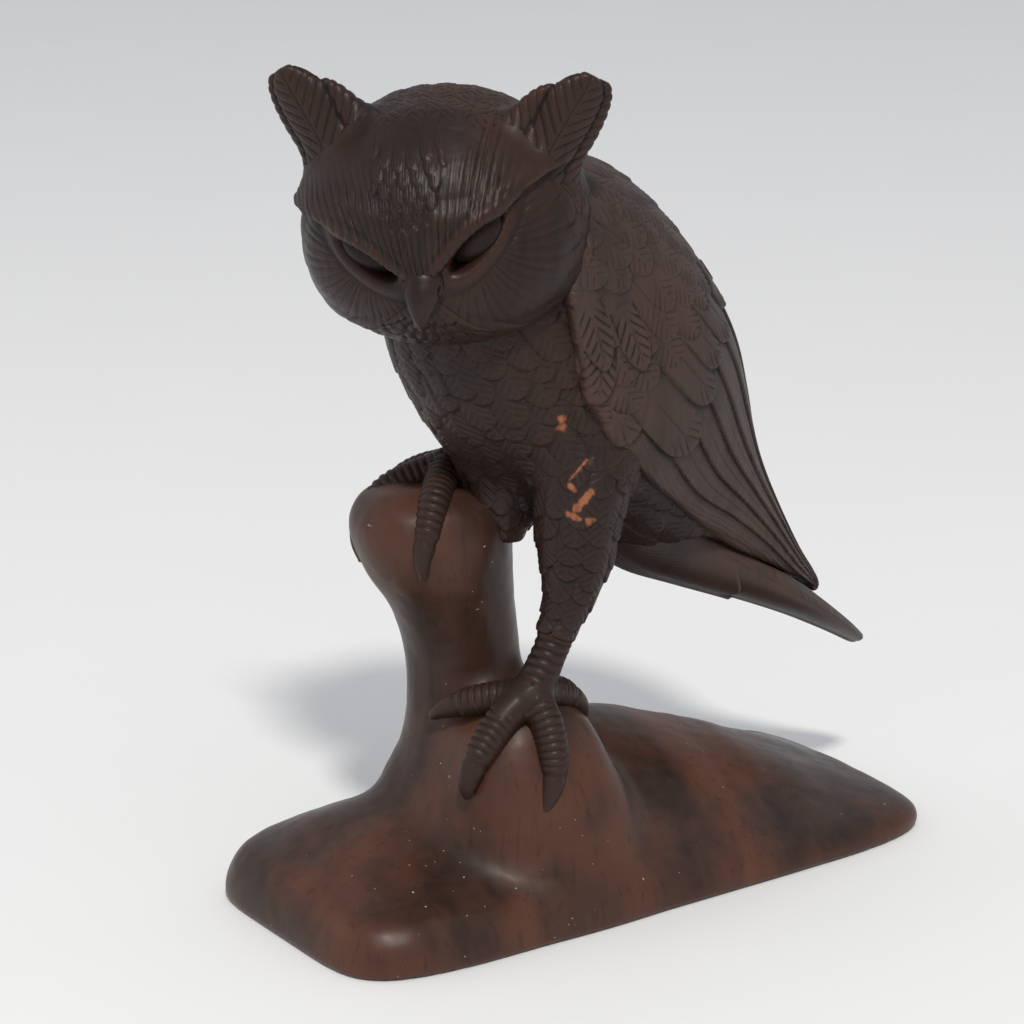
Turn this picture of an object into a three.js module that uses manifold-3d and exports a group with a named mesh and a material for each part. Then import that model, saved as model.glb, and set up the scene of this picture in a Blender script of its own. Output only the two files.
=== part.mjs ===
// A horned owl standing on a stump and a mound, carved in wood and built up from dowelled blocks.
// Millimetres, +Z up. The body looks along -Y and the head is turned towards +X.
// The origin is the middle of the flat underside of the base.
import * as THREE from 'three';
import { mergeVertices } from 'three/addons/utils/BufferGeometryUtils.js';
import Module from 'manifold-3d';

const wasm = await Module();
wasm.setup();

// ---- Driving dimensions -------------------------------------------------------------------

const GAP = 0.3;              // glue line between neighbouring pieces
const BIG = 500;              // side of the blocks that cut along a joint plane

const BASE_HALF_X = 75;
const BASE_HALF_Y = 164;
const BASE_SHIFT_Y = 3;       // the base reaches further under the tail than under the beak
const BASE_CORNER = 6;        // superellipse exponent of the outline
const BASE_ROUND = 10;        // radius of the upper edge
const BASE_LIP = 5;           // height of the upright lip at the floor
const EDGE_FRONT = 20;        // height of the edge at the front end
const EDGE_BACK = 10;         // height of the edge at the back end
const RIDGE_X = -20;          // the ridge of the mound lies off the middle
// height of the ridge against y
const RIDGE = [
  [-161, 21], [-147, 29], [-125, 38], [-95, 44], [-50, 50],
  [12, 66], [67, 50], [100, 38], [130, 26], [167, 10],
];

// rows of x, y, z, half width in x, half width in y
const TRUNK = [
  [-14, -50, 14, 50, 56], [-15, -50, 34, 44, 48], [-18, -49, 50, 35, 38], [-20, -48, 66, 29, 31],
  [-21, -48, 84, 26, 27], [-22, -49, 108, 26, 26], [-22, -54, 130, 27.5, 28.5], [-22, -61, 150, 32, 34],
  [-22, -64, 168, 34, 36], [-22, -62, 181, 30, 32], [-22, -60, 188, 18, 20],
];
// rows of x, y, z, radius x, radius y, radius z: the bulges under the left foot
const KNOLLS = [[30, -48, 52, 28, 40, 46], [4, -44, 54, 40, 42, 45]];
const COLLAR_Z = 108;         // joint between the base block and the stump block

// rows of y, z, half width, half depth, lean of the section in degrees
const TORSO = [
  [-66, 317, 12, 14, 34], [-60, 307, 36, 40, 34], [-48, 288, 48, 55, 34], [-31, 266, 54, 62, 34],
  [-13, 241, 56, 63, 34], [6, 217, 53, 57, 34], [24, 193, 45, 46, 36], [44, 169, 34, 33, 40],
  [66, 150, 25, 18, 48], [84, 137, 20, 9, 52],
];
const PLUMAGE = [
  [-60, 322, 20, 22, 34], [-52, 311, 44, 46, 34], [-37, 291, 57, 60, 34], [-21, 268, 63, 67, 34],
  [-4, 242, 65, 70, 34], [15, 215, 61, 68, 35], [35, 191, 53, 57, 38], [61, 171, 43, 37, 44],
  [87, 150, 32, 23, 50], [112, 128, 21, 13, 54], [133, 113, 9, 6, 55], [141, 107, 4, 3, 55],
];
// side outline of a folded wing, as y, z
const WING_OUTLINE = [
  [-46, 286], [-42, 262], [-37, 240], [-22, 216], [4, 192], [35, 168], [70, 146], [101, 129], [130, 113],
  [141, 103], [160, 120], [120, 190], [90, 260], [50, 320], [0, 348], [-32, 330],
];
const MANTLE_HALF = 13;       // half width of the strip of back between the wings at the shoulders
const MANTLE_END_Y = 92;      // where the wings close over the rump

// rows of y, z, half width, half thickness, lean of the section in degrees
const TAIL = [
  [40, 157, 29, 24, 50], [64, 141, 32, 18, 51], [94, 123, 32, 12, 53], [124, 105, 27, 7.5, 53],
  [149, 89, 18, 4.5, 53], [166, 77.5, 8, 2.6, 53], [170, 75, 2.5, 1.2, 53],
];
const TAIL_JOINT = [62, 154];

const HEAD_AT = new THREE.Vector3(9, -77, 318);
const HEAD_TURN = 46;         // degrees towards the owl's left
const HEAD_BOW = 18;          // degrees down
const SKULL = [60, 56, 49];   // radii across, along and up
const FACE_AT = [0, -15, -15];  // middle of the round facial disc under the brows
const FACE = [57, 40, 38];
const NECK_PLANE_AT = new THREE.Vector3(3, -50, 291);

// rows of x, y, z, radius of the left brow in the head's own frame
const BROW = [[0, -50, 1, 6], [14, -49, 9.5, 6], [30, -41, 19, 6], [43, -27, 22, 5], [51, -12, 23, 3]];
const FACE_ROLL = 10;         // the brows and eyes are carved aslant, higher on the owl's left
const FACE_PIVOT_Z = -4;
const EYE_AT = [22, -43, 5];
const EYE_RADIUS = 10;
// rows of x, y, z, radius in the head's own frame
const BEAK = [
  [0, -44, 4, 6], [0, -52, 1, 8.5], [0, -60, -4, 7.5], [0, -64.5, -11, 5],
  [0, -66, -17, 2.8], [0, -65, -22, 0.8],
];
// rows of x, y, z, half width, half thickness of the left tuft in the head's own frame
const EAR = [
  [38, -2, 17, 20, 14], [47, -2, 30, 19, 11], [55, -1, 42, 17, 8], [62, 0, 52, 13, 5.5],
  [66, 1, 59, 7, 3.5], [67, 1.5, 61, 3, 1.5],
];
const EAR_JOINT = [43, -2, 27];
const EAR_NORMAL = [0.55, 0.1, 0.83];

// rows of x, y, z, radius
const THIGH_LEFT = [
  [36, -10, 224, 20], [37, -18, 209, 22.5], [38, -25, 194, 20.5], [38, -28, 178, 18.5], [38, -29, 162, 16],
  [38, -32, 147, 11.5], [38, -36, 136, 9], [38, -40, 128, 8.2],
];
const THIGH_RIGHT = [
  [-6, -14, 222, 20], [-6, -26, 206, 24], [-5, -36, 190, 22], [-2, -41, 175, 16], [2, -43, 163, 8],
];
const ANKLE_LEFT = [38, -36.5, 135];
const SHANK_LEFT = [
  [38, -33, 145, 7], [38, -38, 132, 8], [38, -42.5, 121, 7.6], [38, -50, 108, 8.5], [38, -56, 101, 8],
];
const TOES_LEFT = [
  [[38, -53, 103, 7.5], [28, -62, 101, 6], [19, -68, 98, 5.5],
   [10, -72, 94, 5], [3, -76, 90, 3.2], [-2, -79, 86, 1]],
  [[38, -54, 103, 7.5], [38, -66, 96, 6.4], [38, -76, 86, 6], [37.5, -83, 76, 5],
   [37, -86, 67, 3.2], [37, -86, 61, 1]],
  [[39, -53, 103, 7.5], [47, -52, 95, 6.2], [53, -52, 83, 5.8],
   [56, -53, 71, 4.8], [57, -56, 62, 3.2], [57, -59, 55, 1]],
  [[38, -54, 103, 7], [34, -40, 101, 6], [31, -29, 96, 5.2], [29, -20, 89, 3.4], [28, -16, 82, 1]],
];
const SHANK_RIGHT = [[-12, -42, 200, 8], [-18, -48, 196, 8.5], [-24, -55, 192, 8.5]];
const TOES_RIGHT = [
  [[-24, -54, 192, 7.5], [-30, -68, 189, 6.4], [-35, -80, 183, 6], [-38.5, -89, 172, 5.2],
   [-40, -91.5, 161, 3.4], [-40, -90, 151, 1]],
  [[-23, -55, 192, 7.5], [-13, -66, 189, 6.4], [-2, -77, 183, 6], [3, -84, 172, 5],
   [4, -87, 162, 3.2], [4, -86, 153, 1]],
  [[-25, -54, 192, 7.5], [-38, -57, 189, 6.2], [-49, -62, 182, 5.8], [-55, -66, 171, 4.8],
   [-56.5, -68, 160, 3.2], [-56, -69, 151, 1]],
];

// rows of name, start, end, radius, the nodes that it runs in
const DOWELS = [
  ['stump_dowel', [-22, -49, 88], [-22, -50, 128], 8, ['base', 'stump']],
  ['neck_dowel', [1, -38, 281], [6, -65, 304], 9, ['torso', 'head']],
  ['tail_dowel', [0, 42, 165], [0, 82, 137], 5, ['torso', 'tail']],
  ['wing_dowel_left', [32, 0, 262], [58, 0, 262], 5, ['torso', 'wing_left']],
  ['wing_dowel_right', [-32, 0, 262], [-58, 0, 262], 5, ['torso', 'wing_right']],
  ['hip_dowel_left', [34, -14, 212], [38, -28, 171], 5, ['torso', 'thigh_left']],
  ['ankle_dowel_left', [38, -32.5, 145], [38, -41, 125], 3, ['thigh_left', 'foot_left']],
  ['perch_dowel_right', [-20, -53, 168], [-9, -29, 212], 4, ['stump', 'foot_right', 'thigh_right', 'torso']],
];
const EAR_TENON = [[36, -2, 15], [50, -1.5, 35]];   // dowel of the left tuft in the head's own frame
const EAR_TENON_RADIUS = 4;

// ---- Solids -------------------------------------------------------------------------------

/** A closed three.js geometry as a manifold-3d solid. */
function solid(geometry) {
  const bare = geometry.clone();
  bare.deleteAttribute('normal');
  bare.deleteAttribute('uv');
  const merged = mergeVertices(bare, 1e-4);
  const make = (indices) => new wasm.Manifold(new wasm.Mesh({
    numProp: 3,
    vertProperties: new Float32Array(merged.attributes.position.array),
    triVerts: new Uint32Array(indices),
  }));
  const indices = Array.from(merged.index.array);
  const first = make(indices);
  return first.volume() > 0 ? first : make(indices.reverse());
}

/** A manifold-3d solid as a three.js geometry. */
function geometryOf(manifold) {
  const out = manifold.getMesh();
  const geometry = new THREE.BufferGeometry();
  geometry.setAttribute('position', new THREE.BufferAttribute(new Float32Array(out.vertProperties), 3));
  geometry.setIndex(new THREE.BufferAttribute(new Uint32Array(out.triVerts), 1));
  geometry.computeVertexNormals();
  return geometry;
}

/** The closed skin over a stack of rings of equal length, with a fan on each end. */
function skin(rings) {
  const sides = rings[0].length;
  const positions = [];
  const indices = [];
  const middle = (ring) => ring.reduce((sum, p) => sum.add(p), new THREE.Vector3()).divideScalar(sides);
  [middle(rings[0]), ...rings.flat(), middle(rings.at(-1))].forEach((p) => positions.push(p.x, p.y, p.z));
  const at = (row, side) => 1 + row * sides + (side % sides);
  const last = rings.length * sides + 1;
  for (let side = 0; side < sides; side += 1) {
    indices.push(0, at(0, side + 1), at(0, side));
    indices.push(last, at(rings.length - 1, side), at(rings.length - 1, side + 1));
    for (let row = 0; row < rings.length - 1; row += 1) {
      indices.push(at(row, side), at(row, side + 1), at(row + 1, side + 1));
      indices.push(at(row, side), at(row + 1, side + 1), at(row + 1, side));
    }
  }
  const geometry = new THREE.BufferGeometry();
  geometry.setAttribute('position', new THREE.Float32BufferAttribute(positions, 3));
  geometry.setIndex(indices);
  return solid(geometry);
}

/** Rows of numbers with Catmull-Rom rows put between them. */
function refine(rows, perSpan) {
  const out = [];
  for (let i = 0; i < rows.length - 1; i += 1) {
    const [a, b, c, d] = [
  rows[Math.max(i - 1, 0)], rows[i], rows[i + 1], rows[Math.min(i + 2, rows.length - 1)],
];
    for (let k = 0; k < perSpan; k += 1) {
      const t = k / perSpan;
      out.push(b.map((_, j) => 0.5 * (2 * b[j] + (c[j] - a[j]) * t
        + (2 * a[j] - 5 * b[j] + 4 * c[j] - d[j]) * t * t
        + (3 * b[j] - a[j] - 3 * c[j] + d[j]) * t * t * t)));
    }
  }
  out.push(rows.at(-1));
  return out;
}

/** An ellipse of points round a centre, spanned by two half axes. */
function ellipse(centre, halfA, halfB, sides) {
  return Array.from({ length: sides }, (_, k) => {
    const angle = (2 * Math.PI * k) / sides;
    return centre.clone().addScaledVector(halfA, Math.cos(angle)).addScaledVector(halfB, Math.sin(angle));
  });
}

/** An upright column with level elliptic sections; grow widens it on all sides. */
function column(rows, perSpan, sides, grow = 0) {
  return skin(refine(rows, perSpan).map(([x, y, z, a, b], k, all) => ellipse(
    new THREE.Vector3(x, y, z + (k === all.length - 1 ? grow : 0)),
    new THREE.Vector3(a + grow, 0, 0), new THREE.Vector3(0, b + grow, 0), sides)));
}

/** A body with sections that lean back in the Y-Z plane. */
function leaning(rows, perSpan, sides, grow = 0) {
  return skin(refine(rows, perSpan).map(([y, z, width, depth, lean]) => {
    const angle = THREE.MathUtils.degToRad(lean);
    const back = new THREE.Vector3(0, Math.cos(angle), Math.sin(angle));
    return ellipse(new THREE.Vector3(0, y, z), new THREE.Vector3(width + grow, 0, 0),
      back.multiplyScalar(depth + grow), sides);
  }));
}

/** A limb with sections square to its run; flat rows give a half width and a half thickness. */
function limb(rows, perSpan, sides, grow = 0, across = new THREE.Vector3(1, 0, 0)) {
  const fine = refine(rows, perSpan);
  const points = fine.map(([x, y, z]) => new THREE.Vector3(x, y, z));
  return skin(fine.map((row, k) => {
    const next = points[Math.min(k + 1, points.length - 1)];
    const run = next.clone().sub(points[Math.max(k - 1, 0)]).normalize();
    const up = new THREE.Vector3().crossVectors(run, across).normalize();
    const side = new THREE.Vector3().crossVectors(up, run).normalize();
    const [width, thickness] = [row[3], row[4] ?? row[3]];
    return ellipse(points[k], side.multiplyScalar(width + grow), up.multiplyScalar(thickness + grow), sides);
  }));
}

/** An ellipsoid. */
function ellipsoid([x, y, z], [a, b, c], sides = 20, rows = 12) {
  const ball = new THREE.SphereGeometry(1, sides, rows).rotateX(Math.PI / 2);
  return solid(ball.scale(a, b, c).translate(x, y, z));
}

/** A straight round rod between two points. */
function rod(from, to, radius, sides = 16) {
  const [start, end] = [new THREE.Vector3(...from), new THREE.Vector3(...to)];
  const run = end.clone().sub(start);
  const geometry = new THREE.CylinderGeometry(radius, radius, run.length(), sides);
  const turn = new THREE.Quaternion().setFromUnitVectors(new THREE.Vector3(0, 1, 0), run.normalize());
  geometry.applyQuaternion(turn);
  const middle = start.add(end).multiplyScalar(0.5);
  return solid(geometry.translate(middle.x, middle.y, middle.z));
}

/** Everything on the side of a plane that its normal points to, set back by an amount. */
function beyond(at, normal, setBack) {
  const unit = normal.clone().normalize();
  const geometry = new THREE.BoxGeometry(BIG, BIG, BIG);
  geometry.applyQuaternion(new THREE.Quaternion().setFromUnitVectors(new THREE.Vector3(0, 0, 1), unit));
  const middle = at.clone().addScaledVector(unit, BIG / 2 + setBack);
  return solid(geometry.translate(middle.x, middle.y, middle.z));
}

/** The largest separate body of a solid, without the slivers that a cut leaves. */
function mainBody(manifold) {
  return manifold.decompose().sort((a, b) => b.volume() - a.volume())[0];
}

/** The same solid on the other side of the owl's middle plane. */
function mirrored(manifold) {
  return manifold.mirror([1, 0, 0]);
}

// ---- Base and stump -----------------------------------------------------------------------

/** The value of a curve given by points, by straight lines between them. */
function along(points, x) {
  const k = Math.min(Math.max(points.findIndex(([px]) => px >= x), 1), points.length - 1);
  const [[x0, y0], [x1, y1]] = [points[k - 1], points[k]];
  return y0 + (y1 - y0) * THREE.MathUtils.clamp((x - x0) / (x1 - x0), 0, 1);
}

/** Height of the mound over its outline, before the edge is rounded. */
function moundHeight(x, y) {
  const edge = THREE.MathUtils.mapLinear(y, RIDGE[0][0], RIDGE.at(-1)[0], EDGE_FRONT, EDGE_BACK);
  const reach = x > RIDGE_X ? BASE_HALF_X - RIDGE_X : BASE_HALF_X + RIDGE_X;
  const u = Math.min(Math.abs(x - RIDGE_X) / reach, 1);
  return edge + Math.max(along(RIDGE_FINE, y) - edge, 0) * (1 - u * u) ** 1.3;
}
const RIDGE_FINE = refine(RIDGE, 4);

/** A level ring of the base outline, drawn in by an inset and scaled about its middle. */
function baseRing(inset, scale, height) {
  const sides = 44;
  return Array.from({ length: sides }, (_, k) => {
    const angle = (2 * Math.PI * k) / sides;
    const part = (value) => Math.sign(value) * Math.abs(value) ** (2 / BASE_CORNER);
    const x = part(Math.cos(angle)) * (BASE_HALF_X - inset) * scale;
    const y = BASE_SHIFT_Y + part(Math.sin(angle)) * (BASE_HALF_Y - inset) * scale;
    return new THREE.Vector3(x, y, height(x, y));
  });
}

function mound(grow) {
  const rings = [baseRing(1, 1, () => 0), baseRing(0, 1, () => BASE_LIP * 0.4)];
  for (const degrees of [0, 30, 60, 90]) {
    const angle = THREE.MathUtils.degToRad(degrees);
    rings.push(baseRing(BASE_ROUND * (1 - Math.cos(angle)), 1,
      (x, y) => BASE_LIP + (moundHeight(x, y) - BASE_LIP + grow) * Math.sin(angle)));
  }
  for (const scale of [0.93, 0.85, 0.74, 0.62, 0.48, 0.34, 0.2, 0.08]) {
    rings.push(baseRing(BASE_ROUND, scale, (x, y) => moundHeight(x, y) + grow));
  }
  return skin(rings);
}

/** Mound, root collar, knolls and stump in one, grown by a clearance. */
function ground(grow) {
  const knolls = KNOLLS.map(([x, y, z, a, b, c]) => ellipsoid([x, y, z], [a + grow, b + grow, c + grow]));
  return knolls.reduce((sum, knoll) => sum.add(knoll), mound(grow).add(column(TRUNK, 2, 26, grow)));
}

const UP = new THREE.Vector3(0, 0, 1);
const DOWN = new THREE.Vector3(0, 0, -1);
const collarAt = new THREE.Vector3(0, 0, COLLAR_Z);

// ---- Owl ----------------------------------------------------------------------------------

const headPlace = new THREE.Matrix4().makeTranslation(HEAD_AT.x, HEAD_AT.y, HEAD_AT.z)
  .multiply(new THREE.Matrix4().makeRotationZ(THREE.MathUtils.degToRad(HEAD_TURN)))
  .multiply(new THREE.Matrix4().makeRotationX(THREE.MathUtils.degToRad(HEAD_BOW)));

/** A solid in the head's own frame (face towards -Y), put where the head is. */
function onHead(manifold) {
  return manifold.transform(headPlace.elements);
}

/** A point in the head's own frame, put where the head is. */
function onHeadPoint(x, y, z) {
  return new THREE.Vector3(x, y, z).applyMatrix4(headPlace).toArray();
}

/** A point of the face, rolled with the slant of the brows and eyes. */
function aslant(x, y, z) {
  const pivot = new THREE.Vector3(0, 0, FACE_PIVOT_Z);
  const axis = new THREE.Vector3(0, -1, 0);
  const turned = new THREE.Vector3(x, y, z).sub(pivot);
  return turned.applyAxisAngle(axis, THREE.MathUtils.degToRad(FACE_ROLL)).add(pivot).toArray();
}

/** Skull with the brow ridge over both eyes, in the head's own frame. */
function skull() {
  const [across, deep, high] = SKULL;
  const brow = (side) => limb(BROW.map(([x, y, z, r]) => [...aslant(side * x, y, z), r]), 2, 8, 0,
    new THREE.Vector3(0, 1, 0));
  return ellipsoid([0, 0, 0], [across, deep, high], 28, 16).add(ellipsoid(FACE_AT, FACE, 28, 16))
    .add(brow(1)).add(brow(-1));
}

function eye(side, grow) {
  return ellipsoid(aslant(side * EYE_AT[0], EYE_AT[1], EYE_AT[2]),
    [EYE_RADIUS + grow, EYE_RADIUS + grow, EYE_RADIUS * 0.8 + grow], 16, 10);
}

function earTuft() {
  return limb(EAR, 2, 18, 0, new THREE.Vector3(0.75, 0.1, -0.65));
}

/** The part of the plumage that a left wing takes up, before the torso is cut out of it. */
function wingSpace() {
  const outline = new THREE.Shape(WING_OUTLINE.map(([y, z]) => new THREE.Vector2(y, z)));
  const slab = new THREE.ExtrudeGeometry(outline, { depth: 90, bevelEnabled: false });
  // the shape's own x, y and depth become y, z and x
  slab.applyMatrix4(new THREE.Matrix4().makeBasis(
    new THREE.Vector3(0, 1, 0), new THREE.Vector3(0, 0, 1), new THREE.Vector3(1, 0, 0)));
  const inward = new THREE.Vector3(MANTLE_END_Y + 30, MANTLE_HALF - 1, 0);
  const edge = new THREE.Vector3(MANTLE_HALF, -30, HEAD_AT.z / 2);
  return solid(slab).intersect(beyond(edge, inward, 0));
}

/** A foot as one solid: a shank and its toes, which end in claws. */
function foot(shank, toes) {
  return toes.reduce((sum, toe) => sum.add(limb(toe, 2, 8)), limb(shank, 2, 10));
}

const neckNormal = HEAD_AT.clone().sub(new THREE.Vector3(0, -28, 273));
const tailNormal = new THREE.Vector3(0, 0.8, -0.6);
const tailAt = new THREE.Vector3(0, ...TAIL_JOINT);
const ankleAt = new THREE.Vector3(...ANKLE_LEFT);
const ankleNormal = new THREE.Vector3(0, -0.35, -0.94);

const belowNeck = beyond(NECK_PLANE_AT, neckNormal.clone().negate(), GAP / 2);
const groundClear = ground(GAP);
const torsoClear = leaning(TORSO, 2, 28, GAP);
const eyesClear = onHead(eye(1, GAP).add(eye(-1, GAP)));
const earSide = (side, setBack) => onHead(beyond(
  new THREE.Vector3(side * EAR_JOINT[0], EAR_JOINT[1], EAR_JOINT[2]),
  new THREE.Vector3(side * EAR_NORMAL[0], EAR_NORMAL[1], EAR_NORMAL[2]), setBack));
const earSolid = { left: onHead(earTuft()), right: onHead(mirrored(earTuft())) };
const thighRightClear = limb(THIGH_RIGHT, 2, 16, GAP);

/** A folded wing: the plumage outside the torso, clear of the thigh and the tail. */
function wing(space) {
  return space.subtract(torsoClear).intersect(belowNeck)
    .subtract(limb(THIGH_LEFT, 2, 16, GAP)).subtract(leaning(TAIL, 2, 20, GAP));
}
const wingSpaceLeft = leaning(PLUMAGE, 2, 32).intersect(wingSpace());

const solids = {
  base: ground(0).intersect(beyond(collarAt, DOWN, GAP / 2)),
  stump: ground(0).intersect(beyond(collarAt, UP, GAP / 2)),
  torso: leaning(TORSO, 2, 28)
    .intersect(belowNeck)
    .intersect(beyond(tailAt, tailNormal.clone().negate(), GAP / 2))
    .subtract(groundClear),
  head: onHead(skull()).intersect(beyond(NECK_PLANE_AT, neckNormal, GAP / 2))
    .subtract(eyesClear).subtract(onHead(limb(BEAK, 2, 12, GAP)))
    .subtract(earSide(1, 0).intersect(earSolid.left)).subtract(earSide(-1, 0).intersect(earSolid.right)),
  beak: onHead(limb(BEAK, 2, 12)),
  eye_left: onHead(eye(1, 0)),
  eye_right: onHead(eye(-1, 0)),
  ear_tuft_left: earSolid.left.intersect(earSide(1, GAP)),
  ear_tuft_right: earSolid.right.intersect(earSide(-1, GAP)),
  wing_left: wing(wingSpaceLeft),
  wing_right: mirrored(wingSpaceLeft).subtract(torsoClear).intersect(belowNeck)
    .subtract(leaning(TAIL, 2, 20, GAP)),
  tail: leaning(TAIL, 2, 20).intersect(beyond(tailAt, tailNormal, GAP / 2)).subtract(torsoClear),
  thigh_left: limb(THIGH_LEFT, 2, 16).intersect(beyond(ankleAt, ankleNormal.clone().negate(), GAP / 2))
    .subtract(torsoClear),
  thigh_right: limb(THIGH_RIGHT, 2, 16).subtract(torsoClear).subtract(groundClear),
  foot_left: foot(SHANK_LEFT, TOES_LEFT).intersect(beyond(ankleAt, ankleNormal, GAP / 2))
    .subtract(groundClear),
  foot_right: mainBody(foot(SHANK_RIGHT, TOES_RIGHT).subtract(groundClear).subtract(torsoClear)
    .subtract(thighRightClear)),
};

/** Lets a rod into the nodes that it runs in, and adds it as a node of its own. */
function letIn(name, from, to, radius, nodes) {
  const run = new THREE.Vector3(...to).sub(new THREE.Vector3(...from)).setLength(GAP);
  const past = (point, sign) => point.map((value, k) => value + sign * run.getComponent(k));
  const hole = rod(past(from, -1), past(to, 1), radius + GAP);
  nodes.forEach((node) => { solids[node] = solids[node].subtract(hole); });
  solids[name] = rod(from, to, radius);
}
DOWELS.forEach((row) => letIn(...row));
for (const [name, side] of [['left', 1], ['right', -1]]) {
  const [from, to] = EAR_TENON.map(([x, y, z]) => onHeadPoint(side * x, y, z));
  letIn(`ear_dowel_${name}`, from, to, EAR_TENON_RADIUS, ['head', `ear_tuft_${name}`]);
}

// ---- Materials and scene ------------------------------------------------------------------

const WOOD = { color: 0x3a241a, roughness: 0.42, metalness: 0 };

const figurine = new THREE.Group();
figurine.name = 'owl_on_stump';
for (const [name, manifold] of Object.entries(solids)) {
  const mesh = new THREE.Mesh(geometryOf(manifold), new THREE.MeshStandardMaterial(WOOD));
  mesh.name = name;
  figurine.add(mesh);
}

export default figurine;
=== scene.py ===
# Looks of the carved owl. Every block is cut again as a fine mesh from the same rows of sizes as
# the CAD model, then feathers, hair and scales are carved into it, and the wood is stained and waxed.
# Sizes are in millimetres in the row's frame until a mesh is made, where they become metres.
import math

import bpy
import numpy as np
import openvdb
from mathutils import Matrix, Vector


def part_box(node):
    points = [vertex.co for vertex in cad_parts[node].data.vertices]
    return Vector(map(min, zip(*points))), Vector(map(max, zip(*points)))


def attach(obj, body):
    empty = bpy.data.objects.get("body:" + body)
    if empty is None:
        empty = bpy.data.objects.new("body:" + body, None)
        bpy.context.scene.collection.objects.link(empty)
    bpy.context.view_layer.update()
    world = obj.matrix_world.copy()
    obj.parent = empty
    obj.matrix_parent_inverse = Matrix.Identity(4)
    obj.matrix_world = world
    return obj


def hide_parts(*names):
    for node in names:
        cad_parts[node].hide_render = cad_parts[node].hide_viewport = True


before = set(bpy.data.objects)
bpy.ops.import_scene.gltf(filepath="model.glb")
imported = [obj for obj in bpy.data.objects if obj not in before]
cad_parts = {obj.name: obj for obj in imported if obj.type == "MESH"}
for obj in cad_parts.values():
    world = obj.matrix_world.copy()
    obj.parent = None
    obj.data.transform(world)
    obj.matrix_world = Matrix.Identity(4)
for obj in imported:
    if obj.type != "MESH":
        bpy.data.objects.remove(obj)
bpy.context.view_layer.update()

MM = 0.001
DRAFT = 1.0     # coarser meshes while trying things


# ---- Sizes, as in the CAD model ------------------------------------------------------------

BASE_HALF = (75, 164)
BASE_SHIFT_Y = 3
BASE_CORNER = 6
BASE_ROUND = 10
BASE_LIP = 5
EDGE = (20, 10)
RIDGE_X = -20
RIDGE = [(-161, 21), (-147, 29), (-125, 38), (-95, 44), (-50, 50), (12, 66), (67, 50), (100, 38),
         (130, 26), (167, 10)]
TRUNK = [(-14, -50, 14, 50, 56), (-15, -50, 34, 44, 48), (-18, -49, 50, 35, 38), (-20, -48, 66, 29, 31),
         (-21, -48, 84, 26, 27), (-22, -49, 108, 26, 26), (-22, -54, 130, 27.5, 28.5),
         (-22, -61, 150, 32, 34), (-22, -64, 168, 34, 36), (-22, -62, 181, 30, 32), (-22, -60, 188, 18, 20)]
TORSO = [(-66, 317, 12, 14, 34), (-60, 307, 36, 40, 34), (-48, 288, 48, 55, 34), (-31, 266, 54, 62, 34),
         (-13, 241, 56, 63, 34), (6, 217, 53, 57, 34), (24, 193, 45, 46, 36), (44, 169, 34, 33, 40),
         (66, 150, 25, 18, 48), (84, 137, 20, 9, 52)]
PLUMAGE = [(-60, 322, 20, 22, 34), (-52, 311, 44, 46, 34), (-37, 291, 57, 60, 34), (-21, 268, 63, 67, 34),
           (-4, 242, 65, 70, 34), (15, 215, 61, 68, 35), (35, 191, 53, 57, 38), (61, 171, 43, 37, 44),
           (87, 150, 32, 23, 50), (112, 128, 21, 13, 54), (133, 113, 9, 6, 55), (141, 107, 4, 3, 55)]
WING_OUTLINE = [(-46, 286), (-42, 262), (-37, 240), (-22, 216), (4, 192), (35, 168), (70, 146), (101, 129),
                (130, 113), (141, 103), (160, 120), (120, 190), (90, 260), (50, 320), (0, 348), (-32, 330)]
MANTLE_HALF = 13
MANTLE_END_Y = 92
TAIL = [(40, 157, 29, 24, 50), (64, 141, 32, 18, 51), (94, 123, 32, 12, 53), (124, 105, 27, 7.5, 53),
        (149, 89, 18, 4.5, 53), (166, 77.5, 8, 2.6, 53), (170, 75, 2.5, 1.2, 53)]
HEAD_AT = (9, -77, 318)
HEAD_TURN = 46
HEAD_BOW = 18
SKULL = (60, 56, 49)
FACE_AT = (0, -15, -15)
FACE = (57, 40, 38)
EYE_AT = (22, -43, 5)
EYE_RADIUS = 10
THIGH_LEFT = [(36, -10, 224, 20), (37, -18, 209, 22.5), (38, -25, 194, 20.5), (38, -28, 178, 18.5),
              (38, -29, 162, 16), (38, -32, 147, 11.5), (38, -36, 136, 9), (38, -40, 128, 8.2)]
THIGH_RIGHT = [(-6, -14, 222, 20), (-6, -26, 206, 24), (-5, -36, 190, 22), (-2, -41, 175, 16),
               (2, -43, 163, 8)]
SHANK_LEFT = [(38, -33, 145, 7), (38, -38, 132, 8), (38, -42.5, 121, 7.6), (38, -50, 108, 8.5),
              (38, -56, 101, 8)]
TOES_LEFT = [
    [(38, -53, 103, 7.5), (28, -62, 101, 6), (19, -68, 98, 5.5), (10, -72, 94, 5), (3, -76, 90, 3.2),
     (-2, -79, 86, 1)],
    [(38, -54, 103, 7.5), (38, -66, 96, 6.4), (38, -76, 86, 6), (37.5, -83, 76, 5), (37, -86, 67, 3.2),
     (37, -86, 61, 1)],
    [(39, -53, 103, 7.5), (47, -52, 95, 6.2), (53, -52, 83, 5.8), (56, -53, 71, 4.8), (57, -56, 62, 3.2),
     (57, -59, 55, 1)],
    [(38, -54, 103, 7), (34, -40, 101, 6), (31, -29, 96, 5.2), (29, -20, 89, 3.4), (28, -16, 82, 1)],
]
SHANK_RIGHT = [(-12, -42, 200, 8), (-18, -48, 196, 8.5), (-24, -55, 192, 8.5)]
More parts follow.
